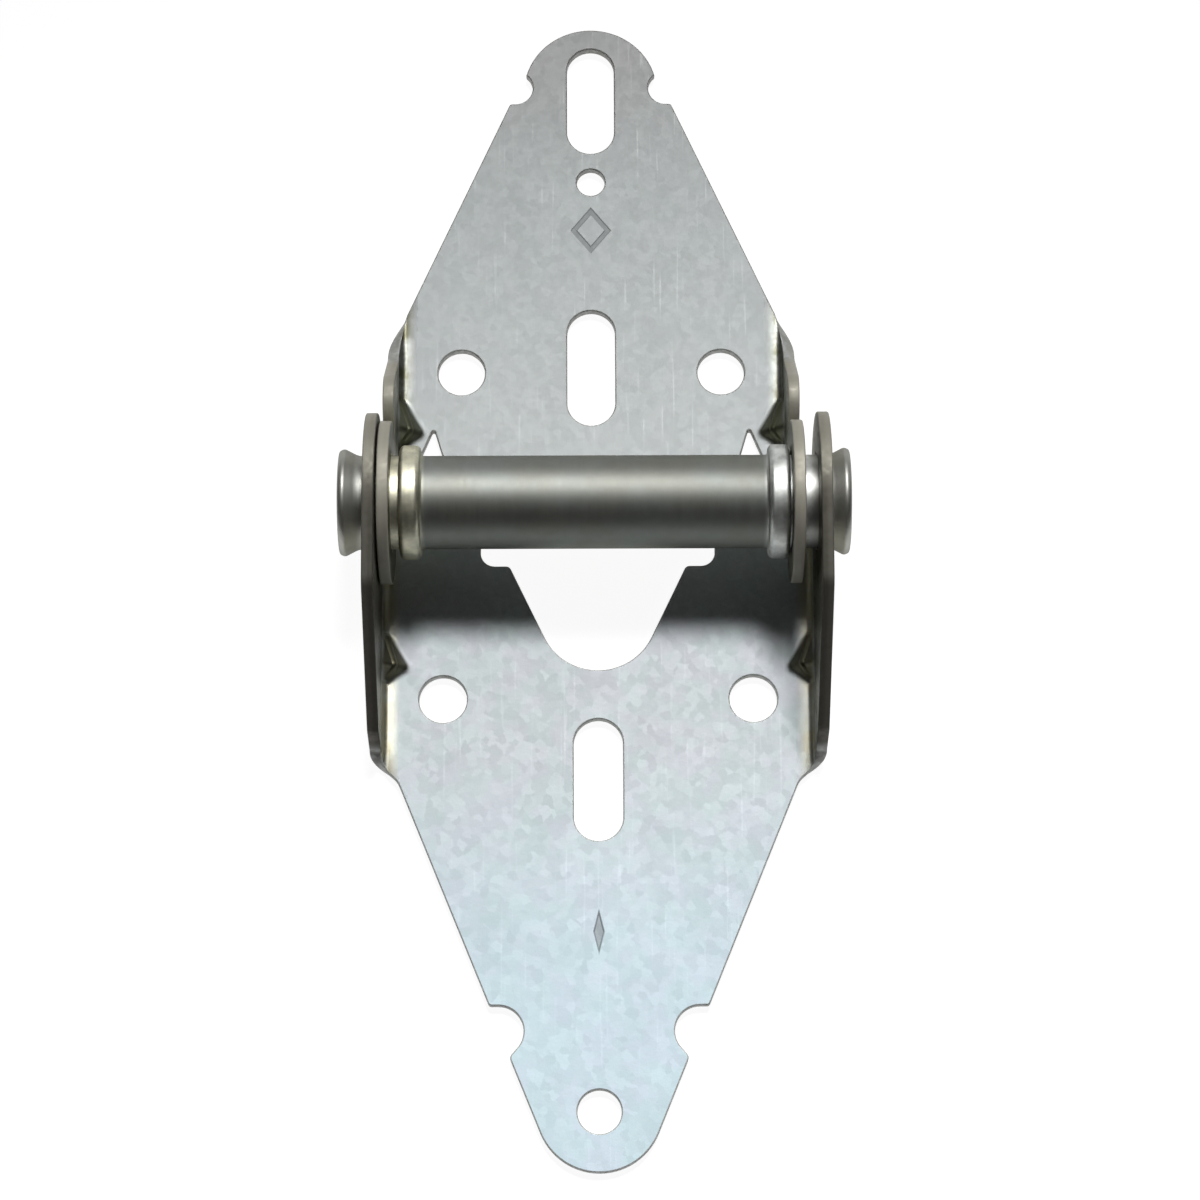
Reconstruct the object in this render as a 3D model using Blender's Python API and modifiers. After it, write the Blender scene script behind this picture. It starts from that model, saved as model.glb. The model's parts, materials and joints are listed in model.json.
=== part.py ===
# Garage door hinge: two folded leaves of zinc-plated steel, joined by the tube
# that takes the roller's stem.
#
# X runs along the tube, +Y up the door towards the upper leaf, +Z out of the door.
# The origin is on the back face, at the middle of the hinge's length and width.
# Each leaf is cut as a flat blank and then folded, as the real one is: the plate
# stays flat, the two ears are bent up and the bends are stiffened by pressed darts.

import bpy
import bmesh
from math import acos, atan2, ceil, cos, hypot, pi, radians, sin, tan
from mathutils import Vector

# Sizes below are in millimetres. Places along Y are counted from the tube's axis.
MM = 0.001

# Sheet
STEEL = 1.9                # thickness of both leaves
BEND_RADIUS = 1.2          # inside radius of the ears' bends
CORNER = 0.6               # rounding of the blanks' punched corners

# Pivot
PIVOT_HEIGHT = 17.5        # the tube's axis above the back face
EAR_SPAN = 68.6            # outside width over the upper leaf's ears
EAR_PLAY = 1.3             # side play between each inner and outer ear
SEAT_GAP = 0.3             # what is left of a gap where two pieces seat

# Roller tube
TUBE_DIAMETER = 15.2
TUBE_BORE = 11.9           # takes a 7/16 inch roller stem
BEAD_DIAMETER = 18.6
BEAD_WIDTH = 3.4
BEAD_ROUND = 0.8           # rounding of the bead's two shoulders
FLARE_DIAMETER = 17.6
FLARE_LENGTH = 3.1
FLARE_BORE = 14.0          # the bore's mouth at the flared end
LIP_ROUND = 0.8            # rounding of the flare's outer edge

# Bolt holes, the same on both leaves
BOLT_HOLE = 7.9
SLOT_WIDTH = 8.1

# Upper leaf
HEAD_RADIUS = 11.5
HEAD_CENTRE = 78.5
HEAD_NOTCH_RADIUS = 3.0
HEAD_NOTCH_HALF = 12.95    # half the distance between the notches' centres
HEAD_NOTCH_RISE = 0.8      # the notches' centres lie this far past the head's
HEAD_SHOULDER_HALF = 13.85 # half width where the taper ends at the notches
UPPER_TAPER_HALF = 31.7    # half width where the taper meets the ear
UPPER_TAPER_Y = 36.8
HEAD_SLOT_LENGTH = 19.3
HEAD_SLOT_DROP = 1.75      # from the head's centre down to the slot's
PILOT_HOLE = 4.8
PILOT_Y = 61.8
UPPER_SLOT_LENGTH = 20.4
UPPER_SLOT_Y = 28.3
UPPER_BOLT_HALF = 21.9
UPPER_BOLT_Y = 27.5
TONGUE_Y = 0.6             # lower edge of the upper leaf, behind the tube
TONGUE_HALF = 21.4
TONGUE_CORNER = 2.0
RELIEF_HALF = 26.5         # tip of the V-shaped relief beside the tongue
RELIEF_Y = 17.8
RELIEF_SIDE = 2.6          # how far the relief's outer side has moved out
RELIEF_DROP = 6.2          # over this length
RELIEF_CORNER = 1.8
RELIEF_TIP_CORNER = 0.3
EAR_FOOT_Y = 4.0           # where the inner ear's bend ends, near the tube
UPPER_EAR_RADIUS = 13.3
UPPER_EAR_KNEE_Y = 19.3    # the ear's sloping edge turns towards its round end here
UPPER_EAR_KNEE_HEIGHT = 20.4
UPPER_EAR_KNEE_CORNER = 6.65
UPPER_EAR_HEEL_Y = 29.3
UPPER_HEEL_CORNER = 1.2
UPPER_DART_Y = 16.5        # the dart's ridge

# Lower leaf
TIP_RADIUS = 10.3
TIP_CENTRE = -96.5
TIP_HOLE = 7.1
TIP_HOLE_DROP = 0.6        # from the tip's centre down to the hole's
TIP_NOTCH_RADIUS = 4.1
TIP_NOTCH_HALF = 16.3
TIP_NOTCH_RISE = 12.4      # from the tip's centre up to the notches'
TIP_NOTCH_TURN = radians(135)     # how far round its centre a notch is cut
TIP_CORNER_DROP = 4.2      # from the notches' centres down to the corners
TIP_CORNER = 0.9
TIP_SHOULDER_HALF = 17.8   # half width where the taper ends at the notches
LOWER_TAPER_HALF = 33.0
LOWER_TAPER_Y = -42.9
LOWER_TAPER_CORNER = 3.6
LOWER_SLOT_LENGTH = 20.4
LOWER_SLOT_Y = -42.8
LOWER_BOLT_HALF = 25.6
LOWER_BOLT_Y = -29.2
LOWER_EDGE_Y = -0.6        # upper edge of the lower leaf, behind the tube
LOWER_EDGE_CORNER = 1.8
OPENING_HALF = 19.5        # the T-shaped opening: its wide bar
OPENING_BAR_Y = -6.45
OPENING_BAR_CORNER = 3.0
OPENING_NECK_HALF = 14.7   # and its funnel with a round bottom
OPENING_NECK_CORNER = 0.9
OPENING_BOTTOM_Y = -24.3
OPENING_RADIUS = 9.8
LOWER_EAR_RADIUS = 14.6
LOWER_EAR_FOOT = radians(198)     # where its round edge starts, counted from its top
LOWER_EAR_SHOULDER_Y = -17.2
LOWER_EAR_SHOULDER_HEIGHT = 30.4
LOWER_EAR_SHOULDER_CORNER = 4.0
LOWER_EAR_STEP_Y = -36.6
LOWER_EAR_STEP_HEIGHT = 10.6
LOWER_EAR_STEP_CORNER = 2.4
LOWER_EAR_HEEL_Y = -38.3
LOWER_EAR_HEEL_HEIGHT = 3.6
LOWER_EAR_HEEL_CORNER = 1.8
LOWER_DART_Y = -24.0

# Pressed darts across the bends: a wedge that is deepest and widest at its ridge
DART_REACH = 3.4           # how far the ridge runs past each side of the bend
DART_RISE = 5.6            # length of its long face, towards the head
DART_FALL = 2.0            # and of its short face, towards the tip

# Fineness of round shapes
ROUNDNESS = 0.04           # how far an arc's straight pieces may cut inside it
COARSEST_ARC = radians(120)       # most that one straight piece of an arc may turn
BEND_STRIPS = 6
DART_STEPS = 4             # grid lines on a dart's faces, and past each side of the bend
FLATNESS = radians(0.2)    # faces closer in angle than this are one flat face
CREASE = radians(30)       # edges sharper than this are shaded as edges
TUBE_STEPS = 36

# Limits of the drawing
CORNER_SHARE = 0.49        # most of a side that the rounding of one corner may take
ON_AXIS = 1e-6             # corners nearer to the middle line than this lie on it
CUT_DISTANCE = 1e-7
WELD_DISTANCE = 1e-5

# What follows from the sizes above
BEND_OUTER = BEND_RADIUS + STEEL
BEND_LENGTH = (BEND_RADIUS + STEEL / 2) * pi / 2
UPPER_HALF = EAR_SPAN / 2
LOWER_HALF = UPPER_HALF + EAR_PLAY + STEEL
SLIDE = (EAR_PLAY - SEAT_GAP) / 2     # each leaf has slid this far along the tube
EAR_HOLE = TUBE_DIAMETER + 2 * SEAT_GAP
UPPER_REACH = HEAD_CENTRE + HEAD_RADIUS
LOWER_REACH = TIP_RADIUS - TIP_CENTRE
PIVOT_Y = (LOWER_REACH - UPPER_REACH) / 2

MATERIALS = {
    "upper_zinc": ((0.60, 0.62, 0.60), 0.38),
    "lower_zinc": ((0.70, 0.73, 0.73), 0.40),
    "tube_zinc": ((0.52, 0.52, 0.46), 0.30),
}


def clear_scene():
    for item in list(bpy.context.scene.objects):
        bpy.data.objects.remove(item, do_unlink=True)


def zinc(name):
    colour, roughness = MATERIALS[name]
    material = bpy.data.materials.new(name)
    material.use_nodes = True
    shader = material.node_tree.nodes["Principled BSDF"]
    shader.inputs["Base Color"].default_value = (*colour, 1.0)
    shader.inputs["Metallic"].default_value = 1.0
    shader.inputs["Roughness"].default_value = roughness
    return material


# Outlines are lists of corners (x, y, radius), walked round in order.
def arc_pieces(radius, turn):
    step = 2 * acos(max(cos(COARSEST_ARC / 2), 1 - ROUNDNESS / radius))
    return max(2, ceil(abs(turn) / step))


def arc(centre, radius, first, last):
    # Points of an arc, ends included, from one angle to another.
    count = arc_pieces(radius, last - first)
    angles = [first + (last - first) * i / count for i in range(count + 1)]
    return [(centre[0] + radius * cos(a), centre[1] + radius * sin(a), 0) for a in angles]


def circle(x, y, diameter):
    return arc((x, y), diameter / 2, 0, 2 * pi)[:-1]


def slot(y, width, length):
    run = (length - width) / 2
    return arc((0, y + run), width / 2, 0, pi) + arc((0, y - run), width / 2, pi, 2 * pi)


def rounded(corners):
    # Puts a tangent arc on each corner that has a radius, no longer than its sides allow.
    outline = []
    for i, (x, y, radius) in enumerate(corners):
        here = Vector((x, y))
        before = Vector(corners[i - 1][:2]) - here
        after = Vector(corners[(i + 1) % len(corners)][:2]) - here
        if radius == 0 or before.length == 0 or after.length == 0:
            outline.append((x, y))
            continue
        half = before.angle(after) / 2
        room = CORNER_SHARE * min(before.length, after.length)
        setback = min(radius / tan(half), room)
        radius = setback * tan(half)
        middle = (before.normalized() + after.normalized()).normalized()
        centre = here + middle * (radius / sin(half))
        first = here + before.normalized() * setback - centre
        last = here + after.normalized() * setback - centre
        turn = atan2(first.cross(last), first.dot(last))
        start = atan2(first.y, first.x)
        count = arc_pieces(radius, turn)
        for k in range(count + 1):
            angle = start + turn * k / count
            outline.append((centre.x + radius * cos(angle), centre.y + radius * sin(angle)))
    return outline


def mirrored(half):
    # A whole outline from its right half, which starts and ends on the middle line.
    left = [(-x, y, radius) for x, y, radius in reversed(half) if x > ON_AXIS]
    return half + left


def circles_meet(centre_a, radius_a, centre_b, radius_b):
    # The upper of the two points where two circles cross.
    across = Vector(centre_b) - Vector(centre_a)
    along = (radius_a ** 2 - radius_b ** 2 + across.length ** 2) / (2 * across.length)
    height = (radius_a ** 2 - along ** 2) ** 0.5
    unit = across.normalized()
    points = [Vector(centre_a) + unit * along + Vector((-unit.y, unit.x)) * height * side
              for side in (1, -1)]
    return max(points, key=lambda point: point.y)


def touch_angle(point, centre, radius, side):
    # Angle on a circle where the line from a point outside touches it.
    dx, dy = point[0] - centre[0], point[1] - centre[1]
    return atan2(dy, dx) + side * acos(min(1.0, radius / hypot(dx, dy)))


def flat_reach(half_width, height):
    # How far out on the flat blank a point of the ear lies, for its height once folded.
    return half_width - BEND_OUTER + BEND_LENGTH + height - BEND_OUTER


def upper_outline():
    axis = (flat_reach(UPPER_HALF, PIVOT_HEIGHT), 0)
    notch = (HEAD_NOTCH_HALF, HEAD_CENTRE + HEAD_NOTCH_RISE)
    cusp = circles_meet((0, HEAD_CENTRE), HEAD_RADIUS, notch, HEAD_NOTCH_RADIUS)
    cusp_on_head = atan2(cusp.y - HEAD_CENTRE, cusp.x)
    cusp_on_notch = atan2(cusp.y - notch[1], cusp.x - notch[0])
    shoulder_y = notch[1] - HEAD_NOTCH_RADIUS
    taper = (UPPER_TAPER_HALF - HEAD_SHOULDER_HALF) / (shoulder_y - UPPER_TAPER_Y)
    heel_half = UPPER_TAPER_HALF + taper * (UPPER_TAPER_Y - UPPER_EAR_HEEL_Y)
    knee = (flat_reach(UPPER_HALF, UPPER_EAR_KNEE_HEIGHT), UPPER_EAR_KNEE_Y)
    foot = (flat_reach(UPPER_HALF, BEND_OUTER + CORNER), EAR_FOOT_Y)
    front = touch_angle(knee, axis, UPPER_EAR_RADIUS, 1)
    back = touch_angle(foot, axis, UPPER_EAR_RADIUS, 1)
    half = arc((0, HEAD_CENTRE), HEAD_RADIUS, pi / 2, cusp_on_head)
    half += arc(notch, HEAD_NOTCH_RADIUS, cusp_on_notch, 3 * pi / 2)[1:]
    half += [(HEAD_SHOULDER_HALF, shoulder_y, CORNER)]
    half += [(heel_half, UPPER_EAR_HEEL_Y, UPPER_HEEL_CORNER)]
    half += [(*knee, UPPER_EAR_KNEE_CORNER)]
    half += arc(axis, UPPER_EAR_RADIUS, front, back - 2 * pi)
    half += [(*foot, CORNER)]
    half += [(RELIEF_HALF + RELIEF_SIDE, RELIEF_Y - RELIEF_DROP, RELIEF_CORNER)]
    half += [(RELIEF_HALF, RELIEF_Y, RELIEF_TIP_CORNER)]
    half += [(TONGUE_HALF, TONGUE_Y, TONGUE_CORNER), (0, TONGUE_Y, 0)]
    holes = [slot(HEAD_CENTRE - HEAD_SLOT_DROP, SLOT_WIDTH, HEAD_SLOT_LENGTH),
             circle(0, PILOT_Y, PILOT_HOLE),
             slot(UPPER_SLOT_Y, SLOT_WIDTH, UPPER_SLOT_LENGTH)]
    for side in (-1, 1):
        holes.append(circle(side * UPPER_BOLT_HALF, UPPER_BOLT_Y, BOLT_HOLE))
        holes.append(circle(side * axis[0], axis[1], EAR_HOLE))
    return mirrored(half), holes


def lower_outline():
    axis = (flat_reach(LOWER_HALF, PIVOT_HEIGHT), 0)
    notch = (TIP_NOTCH_HALF, TIP_CENTRE + TIP_NOTCH_RISE)
    shoulder_y = notch[1] + TIP_NOTCH_RADIUS
    # The tip's straight sides run on at the taper's slope and touch its round end.
    slope = atan2(LOWER_TAPER_HALF - TIP_SHOULDER_HALF, LOWER_TAPER_Y - shoulder_y)
    corner_y = notch[1] - TIP_CORNER_DROP
    touch_y = TIP_CENTRE - TIP_RADIUS * sin(slope)
    corner_half = TIP_RADIUS * cos(slope) + tan(slope) * (corner_y - touch_y)
    shoulder = (flat_reach(LOWER_HALF, LOWER_EAR_SHOULDER_HEIGHT), LOWER_EAR_SHOULDER_Y)
    front = touch_angle(shoulder, axis, LOWER_EAR_RADIUS, 1)
    step = flat_reach(LOWER_HALF, LOWER_EAR_STEP_HEIGHT)
    heel = flat_reach(LOWER_HALF, LOWER_EAR_HEEL_HEIGHT)
    neck = (OPENING_NECK_HALF, OPENING_BAR_Y)
    funnel = (0, OPENING_BOTTOM_Y + OPENING_RADIUS)
    half = arc(funnel, OPENING_RADIUS, -pi / 2, touch_angle(neck, funnel, OPENING_RADIUS, -1))
    half += [(*neck, OPENING_NECK_CORNER)]
    half += [(OPENING_HALF, OPENING_BAR_Y, OPENING_BAR_CORNER)]
    half += [(OPENING_HALF, LOWER_EDGE_Y, CORNER)]
    half += [(LOWER_HALF - BEND_OUTER, LOWER_EDGE_Y, LOWER_EDGE_CORNER)]
    half += arc(axis, LOWER_EAR_RADIUS, LOWER_EAR_FOOT, front)
    half += [(*shoulder, LOWER_EAR_SHOULDER_CORNER)]
    half += [(step, LOWER_EAR_STEP_Y, LOWER_EAR_STEP_CORNER)]
    half += [(heel, LOWER_EAR_HEEL_Y, LOWER_EAR_HEEL_CORNER)]
    half += [(LOWER_TAPER_HALF, LOWER_TAPER_Y, LOWER_TAPER_CORNER)]
    half += [(TIP_SHOULDER_HALF, shoulder_y, CORNER)]
    half += arc(notch, TIP_NOTCH_RADIUS, pi / 2, pi / 2 + TIP_NOTCH_TURN)
    half += [(corner_half, corner_y, TIP_CORNER)]
    half += arc((0, TIP_CENTRE), TIP_RADIUS, -slope, -pi / 2)
    holes = [slot(LOWER_SLOT_Y, SLOT_WIDTH, LOWER_SLOT_LENGTH),
             circle(0, TIP_CENTRE - TIP_HOLE_DROP, TIP_HOLE)]
    for side in (-1, 1):
        holes.append(circle(side * LOWER_BOLT_HALF, LOWER_BOLT_Y, BOLT_HOLE))
        holes.append(circle(side * axis[0], axis[1], EAR_HOLE))
    return mirrored(half), holes


def flat_blank(name, outline, holes):
    # The punched sheet, back face on z = 0, as a mesh.
    curve = bpy.data.curves.new(name, "CURVE")
    curve.dimensions = "2D"
    curve.fill_mode = "BOTH"
    curve.extrude = STEEL / 2 * MM
    for loop in [rounded(outline)] + [rounded(hole) for hole in holes]:
        spline = curve.splines.new("POLY")
        spline.points.add(len(loop) - 1)
        for point, (x, y) in zip(spline.points, loop):
            point.co = (x * MM, y * MM, 0, 1)
        spline.use_cyclic_u = True
    drawn = bpy.data.objects.new(name + "_blank", curve)
    drawn.location.z = STEEL / 2 * MM
    bpy.context.collection.objects.link(drawn)
    bpy.context.view_layer.update()
    evaluated = drawn.evaluated_get(bpy.context.evaluated_depsgraph_get())
    mesh = bpy.data.meshes.new_from_object(evaluated)
    mesh.transform(drawn.matrix_world)
    bpy.data.objects.remove(drawn)
    bpy.data.curves.remove(curve)
    return mesh


def fold_point(flat, depth, half_width):
    # Where a point of the flat blank lies once its ear is bent up, as (x, z).
    side = 1 if flat > 0 else -1
    past = abs(flat) - (half_width - BEND_OUTER)
    if past <= 0:
        return Vector((flat, depth))
    angle = min(past / BEND_LENGTH, 1) * pi / 2
    rise = max(past - BEND_LENGTH, 0)
    radius = BEND_OUTER - depth
    x = half_width - BEND_OUTER + radius * sin(angle)
    return Vector((side * x, BEND_OUTER - radius * cos(angle) + rise))


def dart_shift(flat, y, half_width, dart_y):
    # The dart's punch presses the sheet off the bend onto a straight chord, from plate
    # to ear. The chord shortens evenly from the ridge to both ends of the dart.
    side = 1 if flat > 0 else -1
    above = y - dart_y
    share = 1 - abs(above) / (DART_RISE if above > 0 else DART_FALL)
    if share <= 0:
        return Vector((0, 0))
    start = half_width - BEND_OUTER - DART_REACH * share
    end = half_width - BEND_OUTER + BEND_LENGTH + DART_REACH * share
    along = (abs(flat) - start) / (end - start)
    if not 0 < along < 1:
        return Vector((0, 0))
    middle = STEEL / 2
    first = fold_point(side * start, middle, half_width)
    last = fold_point(side * end, middle, half_width)
    return first.lerp(last, along) - fold_point(flat, middle, half_width)


def cut_lines(sheet, places, normal, keep):
    # Adds an edge line across the faces that keep picks, at each place.
    for place in places:
        faces = [face for face in sheet.faces if keep(face.calc_center_median())]
        edges = {edge for face in faces for edge in face.edges}
        verts = {vert for face in faces for vert in face.verts}
        point = Vector(normal) * place * MM
        bmesh.ops.bisect_plane(sheet, geom=list(verts) + list(edges) + faces,
                               dist=CUT_DISTANCE, plane_co=point, plane_no=normal)


def folded_leaf(name, shape, half_width, dart_y, material, slide):
    outline, holes = shape
    mesh = flat_blank(name, outline, holes)
    sheet = bmesh.new()
    sheet.from_mesh(mesh)
    bmesh.ops.remove_doubles(sheet, verts=sheet.verts, dist=WELD_DISTANCE)

    start = half_width - BEND_OUTER
    strips = [start + BEND_LENGTH * i / BEND_STRIPS for i in range(BEND_STRIPS + 1)]
    steps = [i / DART_STEPS for i in range(DART_STEPS + 1)]
    strips += [start - DART_REACH * step for step in steps[1:]]
    strips += [start + BEND_LENGTH + DART_REACH * step for step in steps[1:]]
    for side in (-1, 1):
        cut_lines(sheet, [side * place for place in strips], (1, 0, 0), lambda centre: True)
    inner, outer = min(strips) * MM, max(strips) * MM
    rows = [dart_y - DART_FALL * step for step in steps[1:]]
    rows += [dart_y + DART_RISE * step for step in steps]
    cut_lines(sheet, rows, (0, 1, 0), lambda centre: inner < abs(centre.x) < outer)
    bmesh.ops.triangulate(sheet, faces=sheet.faces)

    for vert in sheet.verts:
        flat, y, depth = (value / MM for value in vert.co)
        place = fold_point(flat, depth, half_width)
        place += dart_shift(flat, y, half_width, dart_y)
        vert.co = Vector((place.x, y, place.y - PIVOT_HEIGHT)) * MM
    bmesh.ops.dissolve_limit(sheet, angle_limit=FLATNESS, verts=sheet.verts, edges=sheet.edges)
    bmesh.ops.triangulate(sheet, faces=sheet.faces)
    bmesh.ops.recalc_face_normals(sheet, faces=sheet.faces)
    sheet.to_mesh(mesh)
    sheet.free()

    mesh.materials.clear()
    mesh.materials.append(zinc(material))
    mesh.shade_smooth()
    mesh.set_sharp_from_angle(angle=CREASE)
    leaf = bpy.data.objects.new(name, mesh)
    leaf.location = (slide * MM, PIVOT_Y * MM, PIVOT_HEIGHT * MM)
    return leaf


def tube_profile():
    # Half of the tube's section, radius and place along the axis, from its middle to
    # its flared end and back along the bore.
    radius, bore = TUBE_DIAMETER / 2, TUBE_BORE / 2
    bead, flare = BEAD_DIAMETER / 2, FLARE_DIAMETER / 2
    bead_end = UPPER_HALF - STEEL - SLIDE - SEAT_GAP
    bead_start = bead_end - BEAD_WIDTH
    flare_start = LOWER_HALF + SLIDE + SEAT_GAP
    end = flare_start + FLARE_LENGTH
    mouth = FLARE_BORE / 2
    lip = min(LIP_ROUND, CORNER_SHARE * (flare - mouth))
    outside = [(radius, 0, 0), (radius, bead_start, 0)]
    outside += [(bead, bead_start, BEAD_ROUND), (bead, bead_end, BEAD_ROUND)]
    outside += [(radius, bead_end, 0)]
    outside += [(radius, flare_start, FLARE_LENGTH), (flare, end - lip, lip)]
    outside += [(flare - lip / 2, end, lip / 2)]
    inside = [(mouth, end, lip / 2), (bore, flare_start, FLARE_LENGTH)]
    inside += [(bore, 0, 0)]
    return outside, inside


def roller_tube(name, material):
    # The section is turned about Z, then laid along X.
    outside, inside = tube_profile()
    upper_half = list(reversed(outside))[:-1]
    lower_half = [(radius, -along, corner) for radius, along, corner in outside[1:]]
    bore = [(radius, -along, corner) for radius, along, corner in inside[:-1]]
    bore += [(radius, along, corner) for radius, along, corner in reversed(inside[:-1])]
    section = rounded(upper_half + lower_half + bore)

    mesh = bpy.data.meshes.new(name)
    verts = [(radius * MM, 0, along * MM) for radius, along in section]
    edges = [(i, (i + 1) % len(verts)) for i in range(len(verts))]
    mesh.from_pydata(verts, edges, [])
    mesh.materials.append(zinc(material))
    tube = bpy.data.objects.new(name, mesh)
    tube.location = (0, PIVOT_Y * MM, PIVOT_HEIGHT * MM)
    tube.rotation_euler = (0, pi / 2, 0)
    turned = tube.modifiers.new("turned", "SCREW")
    turned.axis = "Z"
    turned.steps = TUBE_STEPS
    turned.render_steps = TUBE_STEPS
    turned.use_merge_vertices = True
    turned.merge_threshold = WELD_DISTANCE
    turned.use_smooth_shade = True
    return tube


def main():
    clear_scene()
    parts = bpy.data.collections.new("garage_door_hinge")
    bpy.context.scene.collection.children.link(parts)
    pieces = [
        folded_leaf("lower_leaf", lower_outline(), LOWER_HALF, LOWER_DART_Y, "lower_zinc", SLIDE),
        folded_leaf("upper_leaf", upper_outline(), UPPER_HALF, UPPER_DART_Y, "upper_zinc", -SLIDE),
        roller_tube("roller_tube", "tube_zinc"),
    ]
    for piece in pieces:
        parts.objects.link(piece)
    bpy.context.view_layer.update()


main()
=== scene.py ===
# Garage door hinge. Both leaves are punched and folded again from the sizes of the
# solids, with rolled-over edges, smooth bends and crisp darts, and the tube is turned
# again with its beads and flares. Zinc plating is procedural, on Object coordinates.
# The pieces' sizes are in millimetres, and places along Y are counted from the tube's axis.

import json
from math import acos, atan2, ceil, cos, hypot, pi, radians, sin, tan

import bpy
import bmesh
from mathutils import Matrix, Vector


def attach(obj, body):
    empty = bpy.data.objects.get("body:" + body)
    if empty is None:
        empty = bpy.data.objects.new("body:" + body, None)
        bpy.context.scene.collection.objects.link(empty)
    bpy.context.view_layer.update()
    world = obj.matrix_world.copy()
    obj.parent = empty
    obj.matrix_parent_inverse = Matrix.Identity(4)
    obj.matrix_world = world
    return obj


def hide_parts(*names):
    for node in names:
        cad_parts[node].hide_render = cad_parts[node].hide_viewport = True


mm = 0.001

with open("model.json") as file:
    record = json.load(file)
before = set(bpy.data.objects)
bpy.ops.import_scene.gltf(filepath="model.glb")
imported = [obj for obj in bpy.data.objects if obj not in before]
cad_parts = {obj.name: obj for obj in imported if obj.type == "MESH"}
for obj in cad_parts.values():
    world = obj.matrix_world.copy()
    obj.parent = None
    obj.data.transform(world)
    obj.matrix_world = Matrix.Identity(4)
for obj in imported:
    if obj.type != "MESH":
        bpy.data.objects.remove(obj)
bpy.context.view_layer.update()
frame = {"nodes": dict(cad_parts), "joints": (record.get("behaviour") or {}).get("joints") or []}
pivot = Vector(frame["joints"][0]["pos_m"]) / mm      # the tube's axis
print("Frame loaded:", ", ".join(sorted(frame["nodes"])))


def addObject(name, data):
    added = bpy.data.objects.new(name, data)
    bpy.context.scene.collection.objects.link(added)
    return added


# Helpers for node trees.
def addNode(tree, kind, inputs=None, **settings):
    node = tree.nodes.new(kind)
    for key, value in settings.items():
        setattr(node, key, value)
    for key, value in (inputs or {}).items():
        if isinstance(value, bpy.types.NodeSocket):
            tree.links.new(value, node.inputs[key])
        else:
            node.inputs[key].default_value = value
    return node


def mathNode(tree, operation, a, b=0.0):
    return addNode(tree, "ShaderNodeMath", {0: a, 1: b}, operation=operation).outputs[0]


def splitPlace(tree, place):
    return addNode(tree, "ShaderNodeSeparateXYZ", {0: place}).outputs


def newGeometryTree(name, sockets):
    tree = bpy.data.node_groups.new(name, "GeometryNodeTree")
    for socketName, kind in sockets:
        tree.interface.new_socket(socketName, in_out="INPUT", socket_type="NodeSocket" + kind)
    tree.interface.new_socket("Geometry", in_out="OUTPUT", socket_type="NodeSocketGeometry")
    given = tree.nodes.new("NodeGroupInput").outputs
    result = tree.nodes.new("NodeGroupOutput").inputs[0]
    return tree, given, result


def endGeometryTree(tree, geometry, material, result):
    whole = addNode(tree, "GeometryNodeRealizeInstances", {"Geometry": geometry})
    finished = addNode(tree, "GeometryNodeSetMaterial",
                       {"Geometry": whole.outputs[0], "Material": material})
    tree.links.new(finished.outputs[0], result)
    return tree


def meshFromTree(name, tree, values):
    # Runs a tree on an empty object and keeps the result as a plain mesh.
    host = addObject(name, bpy.data.meshes.new(name))
    modifier = host.modifiers.new(tree.name, "NODES")
    modifier.node_group = tree
    identifiers = {item.name: item.identifier for item in tree.interface.items_tree
                   if item.in_out == "INPUT"}
    for socketName, value in values.items():
        modifier[identifiers[socketName]] = value
    graph = bpy.context.evaluated_depsgraph_get()
    mesh = bpy.data.meshes.new_from_object(host.evaluated_get(graph))
    host.modifiers.remove(modifier)
    bpy.data.objects.remove(host)
    return mesh


# Outlines are lists of corners (x, y, radius), walked round anticlockwise.
drawing = {
    "arcError": 0.01,     # how far an arc's straight pieces may cut inside it
    "leastPieces": 4,
    "cornerShare": 0.49,  # most of a side that one corner's rounding takes
    "onAxis": 1e-6,       # corners nearer to the middle line than this lie on it
    "weld": 0.002,        # points of a sheet closer than this become one
}


def arcPieces(radius, turn):
    # One straight piece turns 120 degrees at most.
    step = 2 * acos(max(0.5, 1 - drawing["arcError"] / radius))
    return max(drawing["leastPieces"], ceil(abs(turn) / step))


def arcPoints(centre, radius, first, last):
    count = arcPieces(radius, last - first)
    angles = [first + (last - first) * i / count for i in range(count + 1)]
    return [(centre[0] + radius * cos(a), centre[1] + radius * sin(a), 0) for a in angles]


def roundCorners(corners):
    # Puts a tangent arc on each corner that has a radius, no longer than its sides allow.
    outline = []
    for i, (x, y, radius) in enumerate(corners):
        here = Vector((x, y))
        before = Vector(corners[i - 1][:2]) - here
        after = Vector(corners[(i + 1) % len(corners)][:2]) - here
        if radius == 0 or before.length == 0 or after.length == 0:
            outline.append((x, y))
            continue
        half = before.angle(after) / 2
        setback = min(radius / tan(half), drawing["cornerShare"] * before.length,
                      drawing["cornerShare"] * after.length)
        radius = setback * tan(half)
        middle = (before.normalized() + after.normalized()).normalized()
        centre = here + middle * (radius / sin(half))
        first = here + before.normalized() * setback - centre
        last = here + after.normalized() * setback - centre
        turn = atan2(first.cross(last), first.dot(last))
        start = atan2(first.y, first.x)
        count = arcPieces(radius, turn)
        for k in range(count + 1):
            angle = start + turn * k / count
            outline.append((centre.x + radius * cos(angle), centre.y + radius * sin(angle)))
    return outline


def mirrorHalf(half):
    return half + [(-x, y, radius) for x, y, radius in reversed(half)
                   if x > drawing["onAxis"]]


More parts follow.
